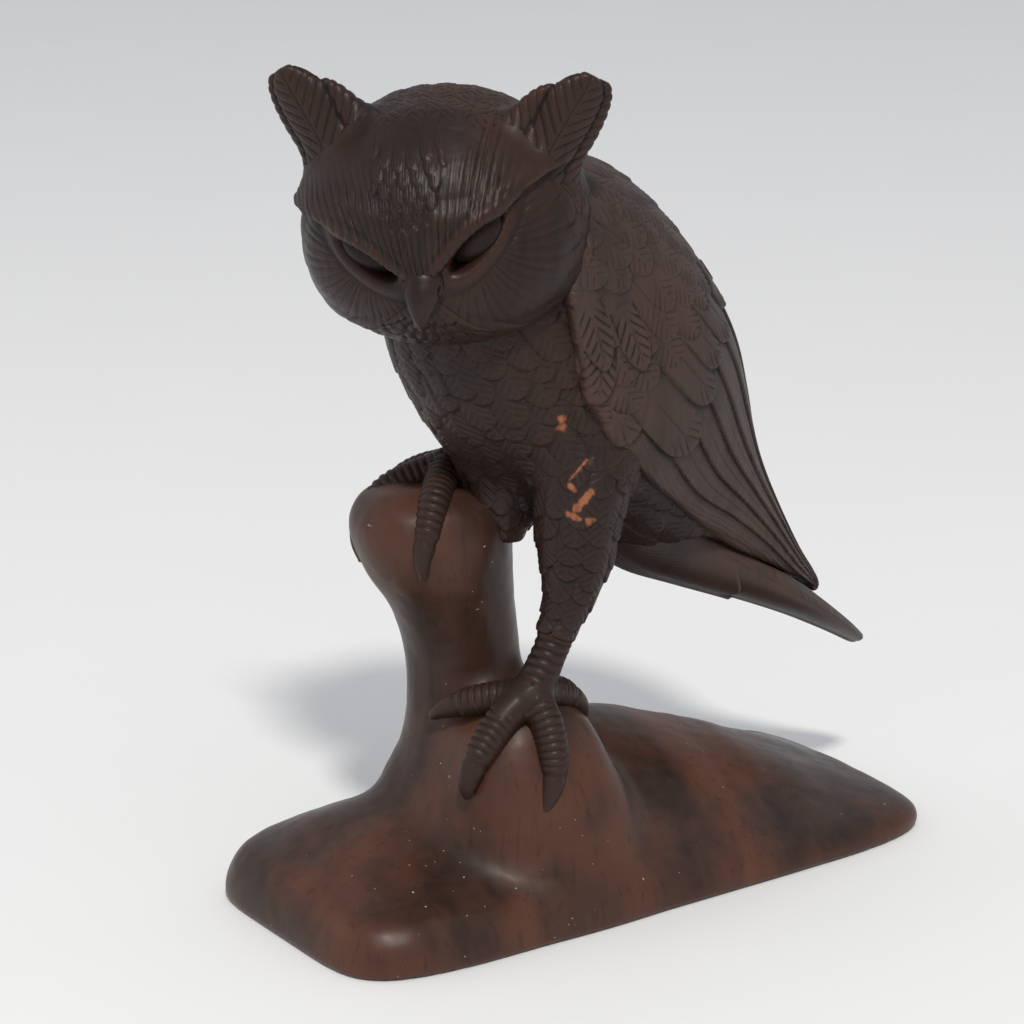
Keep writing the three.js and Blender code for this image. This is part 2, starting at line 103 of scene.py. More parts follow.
TOES_RIGHT = [
    [(-24, -54, 192, 7.5), (-30, -68, 189, 6.4), (-35, -80, 183, 6), (-38.5, -89, 172, 5.2),
     (-40, -91.5, 161, 3.4), (-40, -90, 151, 1)],
    [(-23, -55, 192, 7.5), (-13, -66, 189, 6.4), (-2, -77, 183, 6), (3, -84, 172, 5), (4, -87, 162, 3.2),
     (4, -86, 153, 1)],
    [(-25, -54, 192, 7.5), (-38, -57, 189, 6.2), (-49, -62, 182, 5.8), (-55, -66, 171, 4.8),
     (-56.5, -68, 160, 3.2), (-56, -69, 151, 1)],
]


# ---- Closed skins over rings ---------------------------------------------------------------

def refine(rows, per_span=6):
    """Rows of numbers with Catmull-Rom rows put between them."""
    rows = np.array(rows, float)
    padded = np.vstack([rows[:1], rows, rows[-1:]])
    out = []
    for a, b, c, d in zip(padded, padded[1:], padded[2:], padded[3:]):
        for t in np.arange(per_span) / per_span:
            out.append(0.5 * (2 * b + (c - a) * t + (2 * a - 5 * b + 4 * c - d) * t ** 2
                              + (3 * b - a - 3 * c + d) * t ** 3))
    out.append(rows[-1])
    return np.array(out)


def unit(vectors):
    return vectors / np.maximum(np.linalg.norm(vectors, axis=-1, keepdims=True), 1e-9)


class Spine:
    """Elliptic sections along a line: centres, half axes a and b, and the run of the line."""

    def __init__(self, centres, side, up, half_a, half_b):
        self.centres, self.side, self.up = centres, side, up
        self.half_a, self.half_b = half_a, half_b
        steps = np.linalg.norm(np.diff(centres, axis=0), axis=1)
        self.length = np.concatenate([[0], np.cumsum(steps)])
        run = np.gradient(centres, axis=0)
        across = unit(np.cross(side, up))
        self.run = across * np.sign(np.sum(across * run, axis=1, keepdims=True))

    def skin(self, sides=72):
        angle = np.linspace(0, 2 * np.pi, sides, endpoint=False)
        cos, sin = np.cos(angle)[None, :, None], np.sin(angle)[None, :, None]
        return skin(self.centres[:, None] + cos * (self.side * self.half_a[:, None])[:, None]
                    + sin * (self.up * self.half_b[:, None])[:, None])

    def chart(self, points):
        """For each point: how far along the line, its angle about it, and its share of the radius."""
        f = points @ self.run.T - np.sum(self.centres * self.run, axis=1)
        after = np.clip(np.argmax(f < 0, axis=1), 1, len(self.centres) - 1)
        after = np.where(np.all(f >= 0, axis=1), len(self.centres) - 1, after)
        rows = np.arange(len(points))
        f0, f1 = f[rows, after - 1], f[rows, after]
        share = np.clip(f0 / np.where(np.abs(f0 - f1) < 1e-9, 1, f0 - f1), 0, 1)

        def mixed(values):
            part = share if values.ndim == 1 else share[:, None]
            return values[after - 1] * (1 - part) + values[after] * part

        offset = points - mixed(self.centres)
        a = np.sum(offset * mixed(self.side), axis=1) / mixed(self.half_a)
        b = np.sum(offset * mixed(self.up), axis=1) / mixed(self.half_b)
        along = mixed(self.length)
        return along, np.arctan2(b, a), np.hypot(a, b)

    def radius(self, along):
        return np.interp(along, self.length, (self.half_a + self.half_b) / 2)


def skin(rings):
    """Points, triangles and quads of the closed skin over a stack of rings."""
    rows, sides = rings.shape[:2]
    points = np.vstack([rings.reshape(-1, 3), rings[0].mean(0), rings[-1].mean(0)])
    index = np.arange(rows * sides).reshape(rows, sides)
    turned = np.roll(index, -1, axis=1)
    quads = np.stack([index[:-1], turned[:-1], turned[1:], index[1:]], -1).reshape(-1, 4)
    first, last = len(points) - 2, len(points) - 1
    fans = np.vstack([
        np.stack([np.full(sides, first), turned[0], index[0]], -1),
        np.stack([np.full(sides, last), index[-1], turned[-1]], -1)])
    return points, fans, quads


def leaning(rows):
    """A body with sections that lean back in the Y-Z plane."""
    y, z, width, depth, lean = refine(rows).T
    zero = np.zeros_like(y)
    lean = np.radians(lean)
    return Spine(np.stack([zero, y, z], 1), np.stack([zero + 1, zero, zero], 1),
                 np.stack([zero, np.cos(lean), np.sin(lean)], 1), width, depth)


def column(rows):
    """An upright column with level sections."""
    x, y, z, a, b = refine(rows).T
    zero = np.zeros_like(x)
    return Spine(np.stack([x, y, z], 1), np.stack([zero + 1, zero, zero], 1),
                 np.stack([zero, zero + 1, zero], 1), a, b)


def limb(rows, across=(1, 0, 0), grow=0.0):
    """A limb with sections square to its run; a fifth number gives a half thickness of its own."""
    fine = refine(rows)
    centres = fine[:, :3]
    run = unit(np.gradient(centres, axis=0))
    up = unit(np.cross(run, np.array(across, float)[None]))
    side = unit(np.cross(up, run))
    return Spine(centres, side, up, fine[:, 3] + grow, fine[:, -1] + grow)


def ellipsoid(centre, radii, sides=64, rows=40):
    polar = np.linspace(0, np.pi, rows + 2)[1:-1]
    angle = np.linspace(0, 2 * np.pi, sides, endpoint=False)
    ring = np.stack([np.cos(angle), np.sin(angle), np.zeros(sides)], -1)
    rings = np.sin(polar)[:, None, None] * ring[None] + np.cos(polar)[:, None, None] * np.array([0, 0, 1.0])
    return skin(rings * np.array(radii, float) + np.array(centre, float))


def prism(outline, low, high):
    """An outline of (y, z) points pulled out along X."""
    flat = np.array(outline, float)
    rings = np.stack([np.column_stack([np.full(len(flat), x), flat]) for x in np.linspace(low, high, 8)])
    return skin(rings)


def moved(shape, place):
    points, fans, quads = shape
    return points @ place[:3, :3].T + place[:3, 3], fans, quads


# ---- Solid space ---------------------------------------------------------------------------

class Space:
    """A box of space that holds the distance to a shape at every voxel, less than zero inside."""

    def __init__(self, low, high, voxel, band):
        self.voxel = voxel
        self.band = band
        self.low = np.floor(np.array(low, float) / voxel).astype(int) - 4
        high = np.ceil(np.array(high, float) / voxel).astype(int) + 4
        self.shape = tuple(high - self.low)

    def distance(self, shape):
        if isinstance(shape, Spine):
            shape = shape.skin()
        points, fans, quads = shape
        grid = openvdb.FloatGrid.createLevelSetFromPolygons(
            points.astype(np.float32), fans.astype(np.uint32), quads.astype(np.uint32),
            openvdb.createLinearTransform(voxelSize=self.voxel), self.band / self.voxel)
        out = np.full(self.shape, self.band, np.float32)
        grid.copyToArray(out, ijk=tuple(int(v) for v in self.low))
        return out

    def axes(self):
        steps = [(np.arange(n) + low) * self.voxel for n, low in zip(self.shape, self.low)]
        return np.meshgrid(*steps, indexing="ij", sparse=True)

    def surface(self, field):
        grid = openvdb.FloatGrid(self.band)
        grid.copyFromArray(np.ascontiguousarray(np.clip(field, -self.band, self.band), np.float32))
        points, quads = grid.convertToQuads(0.0)
        return Carving((points.astype(float) + self.low) * self.voxel, quads.astype(np.int64), self.voxel)


def join(a, b, blend):
    """The union of two distance fields, rounded over a blend length."""
    h = np.maximum(blend - np.abs(a - b), 0) / blend
    return np.minimum(a, b) - h * h * blend / 4


def cut(a, b, blend):
    """Field a with field b taken out of it, with a rounded edge."""
    return -join(-a, b, blend)


def common(a, b, blend):
    return -join(-a, -b, blend)


# ---- Carving on a surface ------------------------------------------------------------------

def turned(u, v, degrees):
    """Coordinates u and v measured along axes turned by some degrees."""
    angle = math.radians(degrees)
    return u * math.cos(angle) + v * math.sin(angle), v * math.cos(angle) - u * math.sin(angle)


def smoothstep(low, high, value):
    t = np.clip((value - low) / (high - low), 0, 1)
    return t * t * (3 - 2 * t)


def noise(points, size, seed, layers=3):
    """Smooth noise, about -1 to 1, from waves in random directions."""
    rng = np.random.default_rng(seed)
    total = np.zeros(len(points))
    for layer in range(layers):
        scale = 2 * np.pi / (size / 1.9 ** layer)
        for _ in range(7):
            direction = rng.normal(size=3)
            direction *= rng.uniform(0.6, 1.3) * scale / np.linalg.norm(direction)
            total += 0.6 ** layer * np.sin(points @ direction + rng.uniform(0, 2 * np.pi))
    return total / 5


class Carving:
    """A surface of quads, the relief carved into it, and what the wood shader needs to know."""

    def __init__(self, points, quads, voxel):
        self.points, self.quads, self.voxel = points, quads, voxel
        if self.volume() < 0:
            self.quads = self.quads[:, ::-1].copy()
        self.relax(3, 0.5)
        self.normals = self.find_normals()
        count = len(points)
        self.height = np.zeros(count)
        self.barb = np.zeros(count)
        self.barb_on = np.zeros(count)
        self.tone = np.full(count, 0.5)
        self.bare = np.zeros(count)

    def volume(self):
        p = self.points[self.quads]
        return np.sum(np.cross(p[:, 2] - p[:, 0], p[:, 3] - p[:, 1]) * p.mean(1)) / 6

    def average(self, values):
        """The mean of each vertex's neighbours, for one number or three per vertex."""
        columns = values if values.ndim == 2 else values[:, None]
        count = len(self.points)
        out = np.zeros_like(columns)
        weight = np.bincount(self.quads.ravel(), minlength=count) * 2.0
        for k in range(4):
            for other in ((k + 1) % 4, (k + 3) % 4):
                for c in range(columns.shape[1]):
                    out[:, c] += np.bincount(self.quads[:, k], columns[self.quads[:, other], c], count)
        out /= np.maximum(weight, 1)[:, None]
        return out if values.ndim == 2 else out[:, 0]

    def relax(self, rounds, amount):
        for _ in range(rounds):
            self.points = self.points + amount * (self.average(self.points) - self.points)

    def find_normals(self):
        p = self.points[self.quads]
        face = np.cross(p[:, 2] - p[:, 0], p[:, 3] - p[:, 1])
        out = np.zeros_like(self.points)
        for k in range(4):
            for c in range(3):
                out[:, c] += np.bincount(self.quads[:, k], face[:, c], len(self.points))
        return unit(out)

    def feather(self, among, u, v, length, width, step, where=None, tip=0.45, soft=0.55, root=0.15,
                camber=0.35, overlap=0.0, rachis=0.0, barbs=0.0, pitch=2.6, slant=50, barb_from=0.0,
                fine=0.6, tone=0.5, point=2.0):
        """Lays one feather over what is there. u runs from its root to its tip and v across it."""
        near = (u > -soft) & (u < length + soft) & (np.abs(v) < width + soft)
        if where is not None:
            near &= where > 0.02
        if not near.any():
            return
        u, side, near, mask = u[near], v[near], among[near], 1.0 if where is None else where[near]
        v = np.abs(side)
        turn = length * (1 - tip)
        beyond = np.clip((u - turn) / (length - turn), 0, None)
        reach = (beyond ** point + (v / width) ** point) ** (1 / point)
        inside = np.where(u > turn, (1 - reach) * min(width, length - turn), width - v)
        share = np.clip(u / length, 0, 1)
        height = step * (root + (1 - root) * share) - camber * step * (v / width) ** 2
        height = height - overlap * (side / width) * (0.4 + 0.6 * share)
        if rachis:
            height = height - rachis * np.exp(-(v / 0.8) ** 2) * smoothstep(0.15, 0.5, share)
        angle = math.radians(slant)
        phase = u * math.sin(angle) - v * math.cos(angle)
        amount = smoothstep(barb_from, barb_from + 0.25, share) * smoothstep(0.2, 1.2, inside)
        if barbs:
            wave = 0.5 + 0.5 * np.cos(phase * 2 * np.pi / pitch)
            height = height - barbs * wave ** 2 * amount * smoothstep(0.4, 1.4, v)
        mask = mask * smoothstep(0, soft, inside) * smoothstep(-soft, soft, u)
        self.height[near] += mask * (height - self.height[near])
        chosen = mask > 0.5
        taken = near[chosen]
        self.barb[taken] = phase[chosen]
        self.barb_on[taken] = fine * amount[chosen]
        self.tone[taken] = tone

    def rows(self, spine, along, angle, first, last, spacing, width, length, arc, rng, where=None, turn=0.0,
             **look):
        """Rows of feathers round a body, from the tail forward, so that each lies over the next."""
        for row, root in enumerate(np.arange(last, first, -spacing)):
            radius = max(float(spine.radius(root + 0.6 * length)), 4.0)
            near = np.nonzero((along > root - 3) & (along < root + length * 1.3))[0]
            count = max(int(round((arc[1] - arc[0]) * radius / width)), 2)
            for k in range(count + 1):
                middle = arc[0] + (k + 0.5 * (row % 2)) * (arc[1] - arc[0]) / count + rng.normal(0, 0.03)
                lean = turn + rng.normal(0, 5)
                u = along[near] - root - rng.normal(0, 0.07) * length
                u, v = turned(u, wrap(angle[near] - middle) * radius, lean)
                size = rng.uniform(0.9, 1.12)
                self.feather(near, u, v, length * size, width * 0.56 * size, tone=rng.uniform(0, 1),
                             where=None if where is None else where[near], **look)

    def apply(self):
        self.points = self.points + self.normals * self.height[:, None]

    def piece(self, name, slot, replaces, material):
        """Makes the Blender object of this surface."""
        mesh = bpy.data.meshes.new(name)
        mesh.vertices.add(len(self.points))
        mesh.vertices.foreach_set("co", (self.points * MM).astype(np.float32).ravel())
        mesh.loops.add(self.quads.size)
        mesh.loops.foreach_set("vertex_index", self.quads.astype(np.int32).ravel())
        mesh.polygons.add(len(self.quads))
        mesh.polygons.foreach_set("loop_start", np.arange(0, self.quads.size, 4, dtype=np.int32))
        mesh.update(calc_edges=True)
        mesh.shade_smooth()
        hollow = self.average(self.points) - self.points
        normals = self.find_normals()
        cavity = np.sum(hollow * normals, axis=1)
        wide = cavity.copy()
        for _ in range(6):
            wide = self.average(wide)
        # cavity: how hollow or proud each point is; the shader darkens hollows with it (pooled stain and
        # painted shade) and warms worn high spots
        values = {"barb": self.barb, "barb_on": self.barb_on, "tone": self.tone, "bare": self.bare,
                  "cavity": (0.5 * cavity + 1.5 * wide) / self.voxel}
        for key, value in values.items():
            layer = mesh.attributes.new(key, "FLOAT", "POINT")
            layer.data.foreach_set("value", np.ascontiguousarray(value, np.float32))
        piece = bpy.data.objects.new(name, mesh)
        bpy.context.scene.collection.objects.link(piece)
        mesh.materials.append(material)
        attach(piece, "root")
        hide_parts(*replaces)


ALL_ROUND = (-math.pi, math.pi)


def wrap(angle):
    return (angle + np.pi) % (2 * np.pi) - np.pi


def box_of(*nodes, margin=3.0):
    """The box round some CAD nodes in millimetres, with a margin."""
    corners = [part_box(node) for node in nodes]
    low = np.min([np.array(c[0]) for c in corners], axis=0) / MM - margin
    high = np.max([np.array(c[1]) for c in corners], axis=0) / MM + margin
    return low, high


# ---- Materials -----------------------------------------------------------------------------

class Nodes:
    """Short ways to build a shader tree."""

    def __init__(self, name):
        self.material = bpy.data.materials.new(name)
        self.material.use_nodes = True
        self.tree = self.material.node_tree
        self.shader = self.tree.nodes["Principled BSDF"]

    def add(self, kind, **settings):
        node = self.tree.nodes.new(kind)
        for key, value in settings.items():
            setattr(node, key, value)
        return node

    def link(self, source, target):
        self.tree.links.new(source, target)

    def put(self, value, socket):
        if isinstance(value, bpy.types.NodeSocket):
            self.link(value, socket)
        else:
            socket.default_value = value

    def fill(self, node, **values):
        """Puts values or links on sockets, which are named with underscores for blanks."""
        for key, value in values.items():
            self.put(value, node.inputs[key.replace("_", " ")])
        return node.outputs[0]

    def attribute(self, name):
        return self.add("ShaderNodeAttribute", attribute_name=name).outputs["Fac"]

    def math(self, operation, a, b=0.0, clamp=False):
        node = self.add("ShaderNodeMath", operation=operation, use_clamp=clamp)
        self.put(a, node.inputs[0])
        self.put(b, node.inputs[1])
        return node.outputs[0]

    def span(self, value, low, high, to_low=0.0, to_high=1.0):
        node = self.add("ShaderNodeMapRange", clamp=True)
        return self.fill(node, Value=value, From_Min=low, From_Max=high, To_Min=to_low, To_Max=to_high)

    def noise(self, scale, detail=4.0, stretch=(1, 1, 1), rotate=(0, 0, 0), roughness=0.55, warp=0.0):
        place = self.add("ShaderNodeTexCoord").outputs["Object"]
        place = self.fill(self.add("ShaderNodeMapping"), Vector=place, Scale=stretch, Rotation=rotate)
        node = self.add("ShaderNodeTexNoise")
        self.fill(node, Vector=place, Scale=scale, Detail=detail, Roughness=roughness, Distortion=warp)
        return node.outputs["Fac"]

    def mix(self, amount, a, b):
        node = self.add("ShaderNodeMix", data_type="RGBA", blend_type="MIX")
        self.put(amount, node.inputs[0])
        for value, socket in ((a, node.inputs[6]), (b, node.inputs[7])):
            self.put(value if isinstance(value, bpy.types.NodeSocket) else (*value, 1.0), socket)
        return node.outputs[2]

    def bump(self, height, distance, strength=1.0, before=None):
        node = self.add("ShaderNodeBump")
        if before is not None:
            self.fill(node, Normal=before)
        return self.fill(node, Distance=distance, Strength=strength, Height=height)


BARB_PITCH = 1.5         # millimetres between the finest barbs
COAT = 0.06              # weight of the wax


def carved_wood(name, dark, mid, warm, red_amount=0.5, shine=0.38, grain_turn=(0.25, 0.1, 0.0),
                gloss=0.22, dusty=False):
    """Stained and waxed hardwood: grain, blotches of stain, hollows darkened by pooled stain and by painted
    shade, and rubbed high spots.
    """
    n = Nodes(name)
    grain = n.noise(260, 6, (1, 1, 0.09), grain_turn, 0.6, 0.4)
    streak = n.noise(60, 4, (1, 1, 0.12), grain_turn, 0.55, 0.6)
    blotch = n.noise(16, 3, (1, 1, 0.6), (0, 0, 0), 0.5, 0.3)
    patch = n.noise(9, 2, (1, 1, 0.8), (0.4, 0.2, 0), 0.5, 0.2)
    cavity = n.attribute("cavity")
    tone = n.attribute("tone")
    hollow = n.span(cavity, 0.0, 0.09)
    worn = n.span(cavity, -0.02, -0.10)
    color = n.mix(n.span(streak, 0.3, 0.7), dark, mid)
    color = n.mix(n.math("MULTIPLY", n.span(blotch, 0.45, 0.68), red_amount), color, warm)
    color = n.mix(n.span(patch, 0.35, 0.7, 0.0, 0.35), color, (0.024, 0.019, 0.017))
    color = n.mix(n.span(tone, 0.0, 1.0, 0.0, 0.3), color, mid)
    color = n.mix(n.span(grain, 0.55, 0.72, 0.0, 0.55), color, dark)
    # painted shade: hollows and grooves go towards near black, partly stain pooled there and partly the
    # shade that falls in them
    color = n.mix(n.math("MULTIPLY", hollow, 0.75), color, (0.005, 0.0036, 0.0032))
    color = n.mix(n.math("MULTIPLY", worn, 0.22), color, warm)
    bare = n.mix(n.span(grain, 0.35, 0.65), (0.36, 0.13, 0.06), (0.22, 0.07, 0.03))
    color = n.mix(n.attribute("bare"), color, bare)
    if dusty:
        speck = n.span(n.noise(620, 0), 0.85, 0.87)
        speck = n.math("MULTIPLY", speck, n.span(n.noise(22, 1), 0.5, 0.6))
        color = n.mix(n.math("MULTIPLY", speck, 0.7), color, (0.5, 0.47, 0.43))
    rough = n.span(blotch, 0.3, 0.7, shine - 0.07, shine + 0.1)
    rough = n.math("ADD", rough, n.math("MULTIPLY", grain, 0.12))
    rough = n.math("ADD", rough, n.math("MULTIPLY", hollow, 0.25), clamp=True)
    uneven = n.noise(110, 2, warp=0.5)
    phase = n.math("ADD", n.attribute("barb"), n.math("MULTIPLY", uneven, 1.4))
    phase = n.math("MULTIPLY", phase, math.pi / BARB_PITCH)
    groove = n.math("POWER", n.math("ABSOLUTE", n.math("SINE", phase)), 0.5)
    deep = n.math("MULTIPLY", n.attribute("barb_on"), n.span(n.noise(70, 2), 0.38, 0.6, 0.15, 1.0))
    barbs = n.math("MULTIPLY", groove, deep)
    lines = n.bump(barbs, 0.0004)
    pores = n.bump(grain, 0.00012, 0.7, lines)
    n.fill(n.shader, Base_Color=color, Roughness=rough, Normal=n.bump(blotch, 0.0012, 0.25, pores),
           Coat_Weight=COAT, Coat_Roughness=0.28, Specular_IOR_Level=gloss)
    return n.material


DARK = (0.0085, 0.0046, 0.0036)
MID = (0.0275, 0.0132, 0.0098)
WARM = (0.0640, 0.0230, 0.0130)
owl_wood = carved_wood("owl_wood", DARK, MID, WARM)
# painted light: a lighter copy of the owl's wood for the wings and tail, partly dust and fading, partly
# standing in for the light they catch
wing_wood_dust_and_light = carved_wood("wing_wood_dust_and_light", (0.0155, 0.0096, 0.0078), (0.0520, 0.0295, 0.0232),
                        (0.0840, 0.0360, 0.0240), shine=0.42, gloss=0.3)      # dustier and more faded, and lighter still as painted light where the wings and tail catch more light
base_wood = carved_wood("base_wood", (0.0165, 0.0092, 0.0070), (0.060, 0.0285, 0.0195),
                        (0.140, 0.0490, 0.0245), red_amount=0.8, shine=0.33, grain_turn=(1.45, 0.1, 0.0),
                        dusty=True)
eye_wood = carved_wood("eye_wood", (0.008, 0.0052, 0.0044), (0.018, 0.0105, 0.0085),
                       (0.030, 0.0150, 0.0110), shine=0.32, gloss=0.12)


# ---- Base and stump ------------------------------------------------------------------------

def mound_height(x, y):
    edge = np.interp(y, [RIDGE[0][0], RIDGE[-1][0]], EDGE)
    ridge = refine(RIDGE)
    reach = np.where(x > RIDGE_X, BASE_HALF[0] - RIDGE_X, BASE_HALF[0] + RIDGE_X)
    u = np.clip(np.abs(x - RIDGE_X) / reach, 0, 1)
    return edge + np.maximum(np.interp(y, ridge[:, 0], ridge[:, 1]) - edge, 0) * (1 - u * u) ** 1.3


def mound():
    """The mound as rings of its outline, from the flat underside up over the edge to the ridge."""
    angle = np.linspace(0, 2 * np.pi, 240, endpoint=False)
    part = [np.sign(f) * np.abs(f) ** (2 / BASE_CORNER) for f in (np.cos(angle), np.sin(angle))]

    def ring(inset, scale, height):
        x = part[0] * (BASE_HALF[0] - inset) * scale
        y = BASE_SHIFT_Y + part[1] * (BASE_HALF[1] - inset) * scale
        return np.stack([x, y, height(x, y)], -1)

    rings = [ring(1, 1, lambda x, y: 0 * x), ring(0, 1, lambda x, y: 0 * x + BASE_LIP * 0.4)]
    for turn in np.radians(np.arange(0, 91, 10)):
        rings.append(ring(BASE_ROUND * (1 - math.cos(turn)), 1,
                          lambda x, y: BASE_LIP + (mound_height(x, y) - BASE_LIP) * math.sin(turn)))
    for scale in np.linspace(0.97, 0.03, 32):
        rings.append(ring(BASE_ROUND, scale, mound_height))
    return skin(np.array(rings))


TRUNK_FOOT = [(-12, -50, 14, 40, 42), (-14, -50, 34, 36, 40)]      # steeper than the block it is cut from
BURLS = (((-17, -87, 170), (13, 10, 14)), ((-36, -81, 170), (12, 12, 13)), ((-30, -34, 172), (16, 13, 15)))
FOOTHILLS = (((30, -48, 52), (28, 36, 46)), ((6, -42, 54), (38, 38, 45)), ((2, -62, 30), (32, 28, 42)),
             ((38, -34, 30), (28, 32, 38)))                # knoll, shoulder, toe and flank of the stump
HOLLOW = ((10, -80, 113), (12, 9, 7))
CHIPPED_EDGE = 46        # nicks round the lower edge


def edge_point(angle):
    """A point of the base's lower edge."""
    c, s = math.cos(angle), math.sin(angle)
    return np.array([math.copysign(1, c) * BASE_HALF[0] * abs(c) ** (2 / BASE_CORNER),
                     BASE_SHIFT_Y + math.copysign(1, s) * BASE_HALF[1] * abs(s) ** (2 / BASE_CORNER), 0.0])


def make_ground():
    """Mound, knoll and stump in one, with a few nicks along the lower edge."""
    space = Space(*box_of("base", "stump"), 1.5 * DRAFT, 24.0)
    field = space.distance(mound())
    trunk = space.distance(column([*TRUNK_FOOT, *TRUNK[2:]]))
    knoll, shoulder, toe, flank = (space.distance(ellipsoid(*part)) for part in FOOTHILLS)
    field = join(field, join(knoll, flank, 20), 22)
    field = join(field, join(join(trunk, shoulder, 12), toe, 12), 13)
    for at, size in BURLS:
        field = join(field, space.distance(ellipsoid(at, size)), 12)
    field = cut(field, space.distance(ellipsoid(*HOLLOW)), 9)
    x, y, z = space.axes()
    field = common(field, -z + 0 * x + 0 * y, 1.0)
    carving = space.surface(field)
    p = carving.points
    rise = smoothstep(1.5, 14, p[:, 2])
    carving.height += rise * (0.7 * noise(p, 60, 3, 2) + 0.16 * noise(p, 17, 4, 2))
    rng = np.random.default_rng(11)
    for _ in range(CHIPPED_EDGE):
        at = edge_point(rng.uniform(-np.pi, np.pi))
        away = np.linalg.norm((p - at) / np.array([1, 1, 0.6]), axis=1)
        size = rng.uniform(1.2, 3.4)
        carving.height -= rng.uniform(0.5, 1.3) * smoothstep(size, 0.2 * size, away)
    carving.tone = 0.5 + 0.5 * noise(p, 70, 5, 2)
    carving.apply()
    carving.points[:, 2] = np.maximum(carving.points[:, 2], 0.0)
    carving.piece("mound_and_stump", "base_wood", ["base", "stump", "stump_dowel"], base_wood)


# ---- Owl -----------------------------------------------------------------------------------

def below(at, normal):
    """Distance beyond a plane: less than zero on the side that the normal points away from."""
    normal = np.array(normal, float) / np.linalg.norm(normal)

    def of(x, y, z):
        return (x - at[0]) * normal[0] + (y - at[1]) * normal[1] + (z - at[2]) * normal[2]
    return of


CHIP_TURN = 55           # degrees: the side of the leg that the chips are on
CHIPS = [(2.6, 210.5, -5, 201, 0.7), (-5, 200, -2.4, 197, 0.9), (4, 197.5, -2.4, 189.5, 1.5),
         (-5.5, 186, 3.5, 184.5, 1.6), (-8, 229.5, -8.6, 224.5, 1.9)]      # two ends, half width


def carve_chips(carving):
    """Short ragged slivers where the stain has flaked off and bare orange wood shows."""
    p, turn = carving.points, math.radians(CHIP_TURN)
    place = np.stack([p[:, 0] * math.cos(turn) + p[:, 1] * math.sin(turn), p[:, 2]], -1)
    facing = smoothstep(0.1, 0.4, carving.normals @ np.array([math.sin(turn), -math.cos(turn), 0]))
    ragged = noise(p, 5, 35, 2)
    for a0, z0, a1, z1, half in CHIPS:
        run = np.array([a1 - a0, z1 - z0])
        from_start = place - [a0, z0]
        share = np.clip(from_start @ run / (run @ run), 0, 1)
        away = np.linalg.norm(from_start - share[:, None] * run, axis=1) + 0.8 * half * ragged
        amount = facing * smoothstep(half * 1.15, half * 0.5, away)
        carving.bare = np.maximum(carving.bare, amount)
        carving.height -= 0.4 * amount


def make_body():
    """Breast, belly, back and the right thigh, in rows of soft scallops."""
    space = Space(*box_of("torso", "thigh_right", margin=4), 0.9 * DRAFT, 9.0)
    torso, thigh = leaning(TORSO), limb(THIGH_RIGHT)
    hip = limb(THIGH_LEFT[:4])
    field = join(space.distance(torso), space.distance(thigh), 10)
    field = join(field, space.distance(hip) + 2.0, 12)
    carving = space.surface(field)
    p = carving.points
    along, angle, _ = torso.chart(p)
    rng = np.random.default_rng(21)
    below_neck = smoothstep(0, 6, along)
    carving.height += 0.5 * noise(p, 30, 22, 2)
    carving.rows(torso, along, angle, 8, 205, 10, 14, 22, ALL_ROUND, rng, below_neck,
                 step=1.5, camber=0.3, barbs=0.3, pitch=3.0, barb_from=0.25, fine=0.35, tip=0.5, soft=0.8)
    reach, turn, share = thigh.chart(p)
    on_thigh = smoothstep(1.3, 1.1, share) * smoothstep(20, 28, reach)
    carving.rows(thigh, reach, turn, 16, thigh.length[-1] + 4, 9, 12, 18, ALL_ROUND, rng, on_thigh,
                 step=2.0, camber=0.3, barbs=0.3, pitch=2.8, barb_from=0.2, fine=0.5, tip=0.5, soft=0.8)
    carving.tone = 0.5 * carving.tone + 0.25 + 0.25 * noise(p, 45, 23, 2)
    carve_chips(carving)
    carving.apply()
    replaced = ["torso", "thigh_right", "hip_dowel_left", "perch_dowel_right"]
    carving.piece("body", "owl_wood", replaced, owl_wood)


def make_thigh():
    """The left thigh in stepped rows of feathers, ragged where they end over the shank."""
    space = Space(*box_of("thigh_left"), 0.6 * DRAFT, 6.0)
    thigh = limb([(28, 4, 230, 5), (33, -7, 220, 14), (37, -18, 208, 20), *THIGH_LEFT[2:]])
    carving = space.surface(space.distance(thigh))
    p = carving.points
    along, angle, _ = thigh.chart(p)
    rng = np.random.default_rng(31)
    carving.height += 0.35 * noise(p, 22, 32, 2)
    carving.rows(thigh, along, angle, -8, thigh.length[-1] - 14, 10, 13, 19, ALL_ROUND, rng,
                 step=1.7, camber=0.25, barbs=0.3, pitch=2.8, barb_from=0.3, fine=0.4, tip=0.4, soft=0.7)
    carving.tone = 0.5 * carving.tone + 0.25 + 0.25 * noise(p, 30, 33, 2)
    carve_chips(carving)
    carving.apply()
    carving.piece("thigh", "owl_wood", ["thigh_left", "ankle_dowel_left"], owl_wood)


WING_THICK = 6.5
PRIMARY_EDGES = (-42, -10, 3, 15, 27, 41, 57, 76, 98)      # degrees round the plumage
COVERTS = [(-26, 112, 20), (-8, 138, 21), (9, 127, 17), (21, 119, 16), (36, 119, 18), (52, 114, 18),
           (68, 110, 18), (84, 104, 18)]                   # degrees, run at the tip, width
COVERT_LENGTH = 54
COVERT_LEAN = 9
SHOULDER_FAN = [(-13, 66, 24, 13, -32), (3, 58, 30, 12, -14), (-24, 48, 28, 9, -6),
                (-7, 46, 31, 12, -18)]                     # degrees, run at the root, length, width, lean


